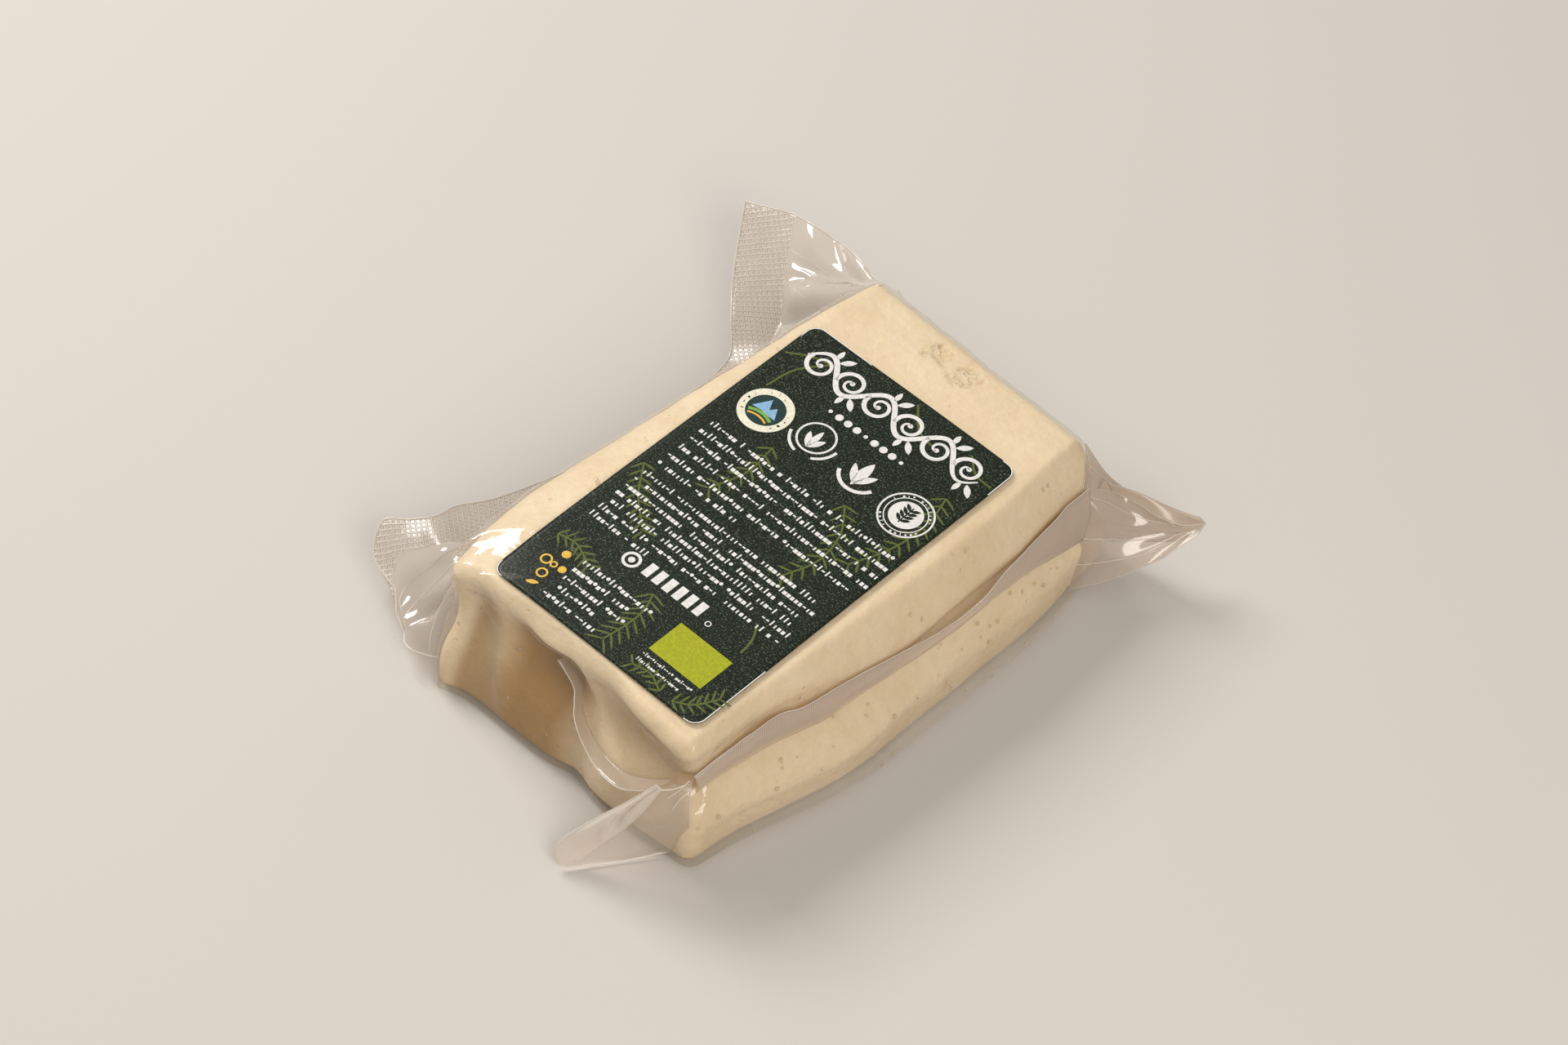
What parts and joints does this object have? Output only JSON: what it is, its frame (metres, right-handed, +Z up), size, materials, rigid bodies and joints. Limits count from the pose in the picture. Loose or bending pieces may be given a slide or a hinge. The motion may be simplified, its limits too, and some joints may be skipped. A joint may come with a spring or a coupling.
{
  "type": "vacuum-packed cheese block",
  "caption": "Slab of white brined cheese in a clear vacuum bag with flattened film flaps at its corners and a dark green paper label on top.",
  "frame": {"origin": "middle of the face that the block lies on", "axes": "+X across the block, +Y along it to the label's title end, +Z up out of the labelled face"},
  "size_m": [0.135, 0.1574, 0.0342],
  "materials": {
    "cheese": "moist ivory white cheese, finely pitted",
    "film": "clear glossy vacuum film",
    "label": "satin dark green paper label with a white cut edge",
    "print": "satin pale printing ink with lime and ochre fields"
  },
  "bodies": {
    "root": {"bag": "cheese", "label": "label"}
  },
  "joints": []
}
